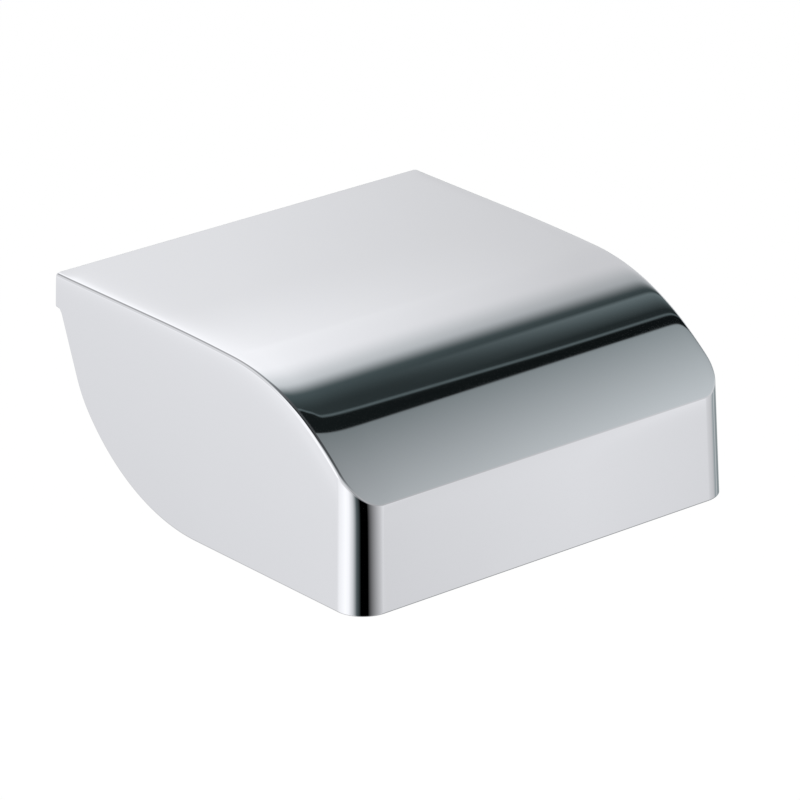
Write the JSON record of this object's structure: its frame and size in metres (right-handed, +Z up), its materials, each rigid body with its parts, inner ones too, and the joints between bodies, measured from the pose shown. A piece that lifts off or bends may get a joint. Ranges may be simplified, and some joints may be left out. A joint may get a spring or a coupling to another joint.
{
  "type": "toilet paper holder",
  "caption": "Wall mounted toilet paper holder with a chromed hood that hinges up at the back, curving down to a short front face, over a sprung spindle between two arms.",
  "frame": {"origin": "midway between the two wall screw holes, on the wall plane that the plate's back lies on", "axes": "+X to the right along the wall seen from the room, +Y into the wall so the front faces -Y, +Z up"},
  "size_m": [0.137, 0.1398, 0.06],
  "materials": {
    "chrome": "polished chrome plating",
    "steel": "bright zinc plated steel",
    "bearing_plastic": "smooth dark grey moulded plastic",
    "rubber": "soft black rubber"
  },
  "bodies": {
    "bracket": {"wall_plate": "steel", "side_arm_left": "chrome", "side_arm_right": "chrome", "arm_screws": "steel", "pivot_screw_left": "steel", "pivot_screw_right": "steel", "pivot_washer_left": "steel", "pivot_washer_right": "steel", "lid_buffer_left": "rubber", "lid_buffer_right": "rubber", "spindle_socket_left": "bearing_plastic", "spindle_socket_right": "bearing_plastic"},
    "lid": {"lid_cover": "chrome", "hinge_bush_left": "bearing_plastic", "hinge_bush_right": "bearing_plastic"},
    "spindle": {"spindle_sleeve": "chrome", "spindle_collar": "bearing_plastic", "spindle_cap_left": "bearing_plastic", "spindle_spring": "steel"},
    "plunger": {"spindle_plunger": "chrome", "spindle_cap_right": "bearing_plastic"}
  },
  "joints": [
    {"name": "lid_hinge", "type": "hinge", "parent": "bracket", "child": "lid", "pos_m": [0, -0.012, 0.022], "axis": [-1, 0, 0], "range_deg": [0, 92]},
    {"name": "spindle_spin", "type": "hinge", "parent": "bracket", "child": "spindle", "pos_m": [0, -0.0695, -0.018], "axis": [1, 0, 0], "continuous": true},
    {"name": "spindle_compress", "type": "slide", "parent": "spindle", "child": "plunger", "axis": [-1, 0, 0], "range_m": [0, 0.008], "stiffness_N_per_m": 400, "springref_m": -0.02, "deforming": ["spindle_spring"]}
  ]
}
